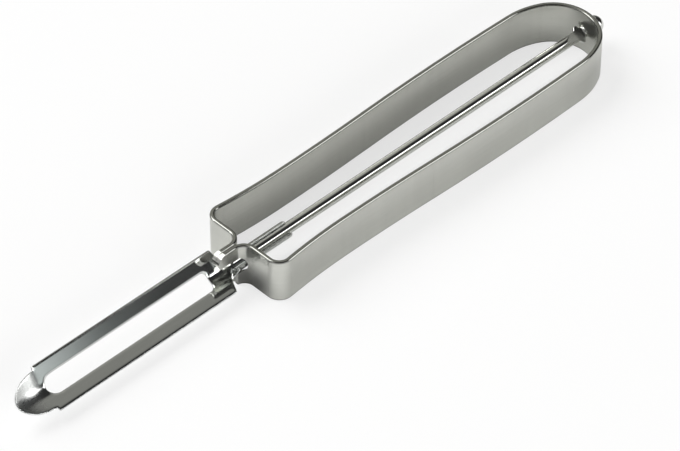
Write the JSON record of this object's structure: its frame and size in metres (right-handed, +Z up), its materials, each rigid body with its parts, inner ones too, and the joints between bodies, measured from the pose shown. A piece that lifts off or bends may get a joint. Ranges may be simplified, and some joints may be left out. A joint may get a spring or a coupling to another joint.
{
  "type": "swivel vegetable peeler",
  "caption": "Swivel peeler with an open loop handle bent from steel strip, a wire spindle and a slotted channel blade with a coring tip.",
  "frame": {"origin": "centre of the whole part's box in X and Y, on the plane of the handle strip's lower edges", "axes": "+X along the spindle from the coring tip to the handle's round end, +Z up from the strip's lower edges to its upper edges"},
  "size_m": [0.1644, 0.0224, 0.0105],
  "materials": {
    "strip_steel": "satin",
    "blade_steel": "polished",
    "wire_steel": "polished"
  },
  "bodies": {
    "handle": {"handle_strip": "strip_steel"},
    "blade_and_spindle": {"blade": "blade_steel", "spindle": "wire_steel"}
  },
  "joints": [
    {"name": "blade_swivel", "type": "hinge", "parent": "handle", "child": "blade_and_spindle", "pos_m": [0, 0, 0.00525], "axis": [1, 0, 0], "range_deg": [-98, 26]}
  ]
}
